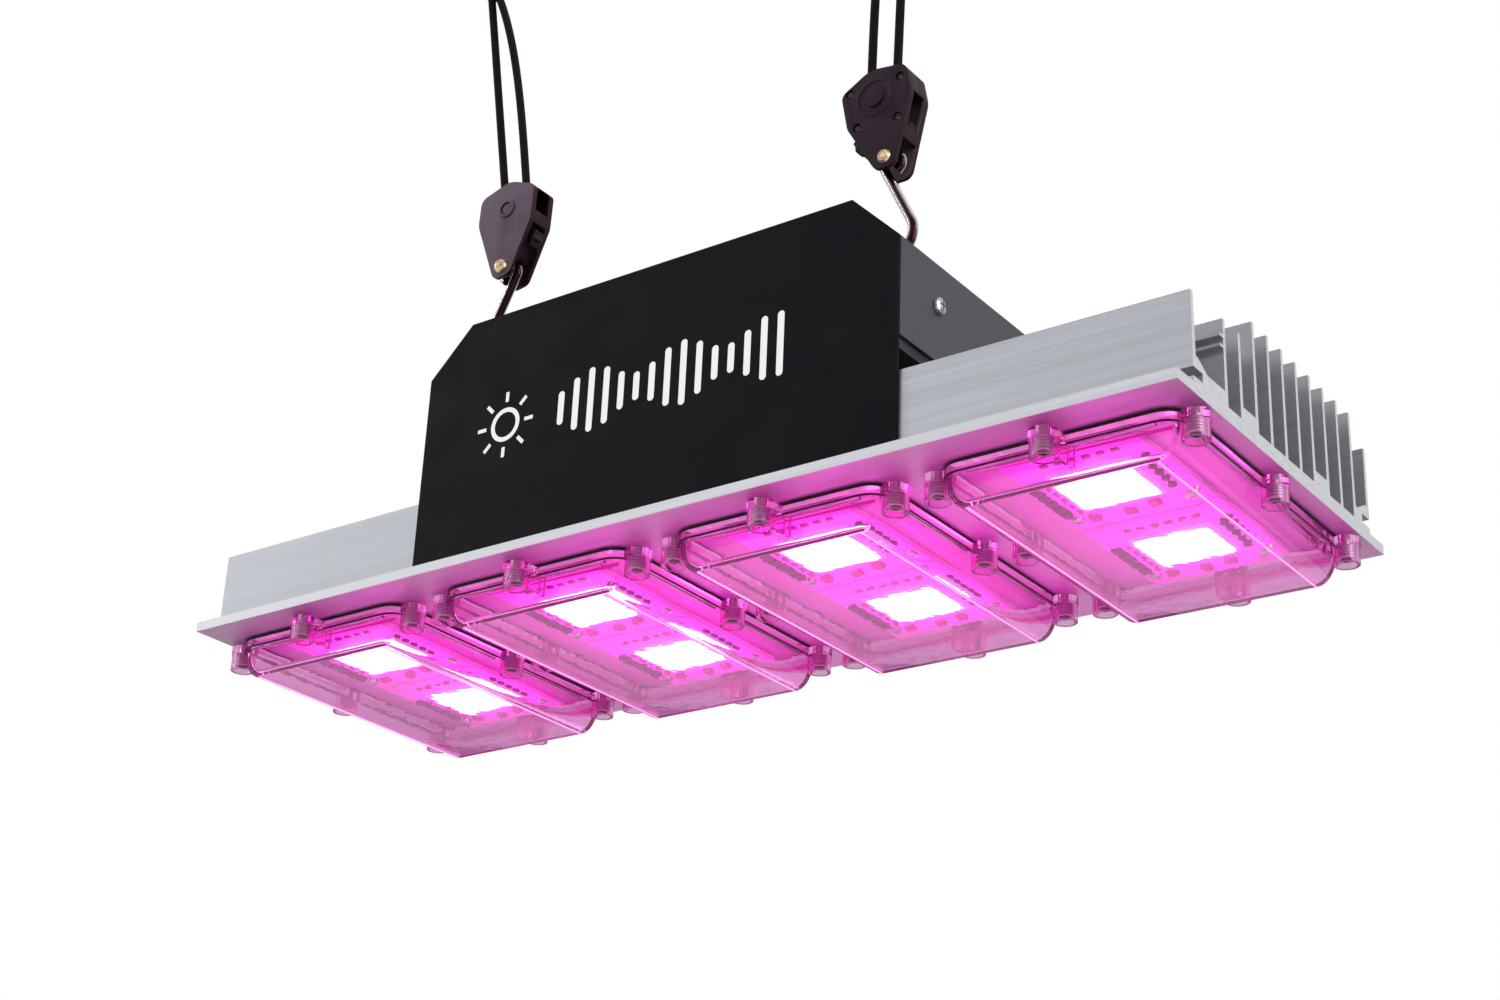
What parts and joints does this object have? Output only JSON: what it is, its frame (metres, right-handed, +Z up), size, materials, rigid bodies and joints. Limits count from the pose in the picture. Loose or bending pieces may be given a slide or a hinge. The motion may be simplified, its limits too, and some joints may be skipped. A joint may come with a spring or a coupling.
{
  "type": "led grow light",
  "caption": "Long finned aluminium grow light with clear domed LED modules below, a black driver housing on top, hung from rope ratchets with wire hooks.",
  "frame": {"origin": "point of suspension: above the middle of the light's length, in the hangers' plane, at the height where the top hooks bear on what holds them", "axes": "+X along the heat sink's fins to the right, +Y from the front lip to the back, +Z up"},
  "size_m": [0.52, 0.1933, 0.4394],
  "materials": {
    "extruded_aluminium": "satin, fine extrusion lines along its length",
    "clear_polycarbonate": "clear and glossy",
    "gasket_rubber": "matt black",
    "led_board": "white solder mask over metal",
    "black_sheet": "fine satin black powder coat",
    "galvanised_sheet": "galvanised sheet",
    "zinc_screw": "bright zinc",
    "driver_case": "satin drawn case",
    "terminal_plastic": "moulded",
    "gland_nylon": "moulded black nylon",
    "ratchet_nylon": "moulded dark grey nylon, fine texture",
    "sheave_nylon": "moulded black nylon",
    "brass": "polished",
    "hook_steel": "dark nickel-plated wire",
    "rope_braid": "black braided polypropylene"
  },
  "bodies": {
    "fixture": {"heat_sink": "extruded_aluminium", "lens_cover_1": "clear_polycarbonate", "lens_cover_2": "clear_polycarbonate", "lens_cover_3": "clear_polycarbonate", "lens_cover_4": "clear_polycarbonate", "lens_gasket_1": "gasket_rubber", "lens_gasket_2": "gasket_rubber", "lens_gasket_3": "gasket_rubber", "lens_gasket_4": "gasket_rubber", "led_board_1": "led_board", "led_board_2": "led_board", "led_board_3": "led_board", "led_board_4": "led_board", "led_board_5": "led_board", "led_board_6": "led_board", "led_board_7": "led_board", "led_board_8": "led_board", "front_panel": "black_sheet", "back_panel": "black_sheet", "housing_cover": "black_sheet", "chassis_tray": "galvanised_sheet", "end_screw_1": "zinc_screw", "end_screw_2": "zinc_screw", "end_screw_3": "zinc_screw", "end_screw_4": "zinc_screw", "led_driver_1": "driver_case", "led_driver_2": "driver_case", "terminal_block": "terminal_plastic", "cable_gland": "gland_nylon", "gland_nut": "gland_nylon"},
    "left_hook": {"left_hook": "hook_steel"},
    "left_ratchet": {"left_ratchet_front_shell": "ratchet_nylon", "left_ratchet_back_shell": "ratchet_nylon", "left_ratchet_rivet": "brass", "left_sheave_axle": "zinc_screw", "left_rope_bight": "rope_braid", "left_load_rope": "rope_braid", "left_rope_ferrule": "zinc_screw", "left_tail_rope": "rope_braid", "left_tail_hitch": "rope_braid"},
    "left_sheave": {"left_sheave": "sheave_nylon"},
    "left_lever": {"left_release_lever": "sheave_nylon"},
    "left_top_hook": {"left_top_hook": "hook_steel"},
    "right_hook": {"right_hook": "hook_steel"},
    "right_ratchet": {"right_ratchet_front_shell": "ratchet_nylon", "right_ratchet_back_shell": "ratchet_nylon", "right_ratchet_rivet": "brass", "right_sheave_axle": "zinc_screw", "right_rope_bight": "rope_braid", "right_load_rope": "rope_braid", "right_rope_ferrule": "zinc_screw", "right_tail_rope": "rope_braid", "right_tail_hitch": "rope_braid"},
    "right_sheave": {"right_sheave": "sheave_nylon"},
    "right_lever": {"right_release_lever": "sheave_nylon"},
    "right_top_hook": {"right_top_hook": "hook_steel"}
  },
  "joints": [
    {"name": "left_hook_swing", "type": "hinge", "parent": "fixture", "child": "left_hook", "pos_m": [-0.1135, 0, -0.2921], "axis": [1, 0, 0], "range_deg": [-30, 30]},
    {"name": "left_ratchet_swing", "type": "hinge", "parent": "left_hook", "child": "left_ratchet", "pos_m": [-0.1105, 0, -0.2449], "axis": [0, 1, 0], "range_deg": [-20, 20]},
    {"name": "left_sheave_spin", "type": "hinge", "parent": "left_ratchet", "child": "left_sheave", "pos_m": [-0.11, 0, -0.21276], "axis": [0, 1, 0], "continuous": true},
    {"name": "left_lever_press", "type": "hinge", "parent": "left_ratchet", "child": "left_lever", "pos_m": [-0.09923, 0, -0.22246], "axis": [0, 1, 0], "range_deg": [0, 8], "stiffness_Nm_per_rad": 0.05},
    {"name": "left_top_hook_swing", "type": "hinge", "parent": "left_ratchet", "child": "left_top_hook", "pos_m": [-0.14766, 0, -0.02794], "axis": [0, 1, 0], "range_deg": [-30, 30]},
    {"name": "right_hook_swing", "type": "hinge", "parent": "fixture", "child": "right_hook", "pos_m": [0.1195, 0, -0.2982], "axis": [1, 0, 0], "range_deg": [-30, 30]},
    {"name": "right_ratchet_swing", "type": "hinge", "parent": "right_hook", "child": "right_ratchet", "pos_m": [0.1105, 0, -0.2559], "axis": [0, 1, 0], "range_deg": [-20, 20]},
    {"name": "right_sheave_spin", "type": "hinge", "parent": "right_ratchet", "child": "right_sheave", "pos_m": [0.1052, 0, -0.2242], "axis": [0, -1, 0], "continuous": true},
    {"name": "right_lever_press", "type": "hinge", "parent": "right_ratchet", "child": "right_lever", "pos_m": [0.096, 0, -0.2354], "axis": [0, -1, 0], "range_deg": [0, 8], "stiffness_Nm_per_rad": 0.05},
    {"name": "right_top_hook_swing", "type": "hinge", "parent": "right_ratchet", "child": "right_top_hook", "pos_m": [0.11503, 0, -0.02782], "axis": [0, 1, 0], "range_deg": [-30, 30]}
  ]
}
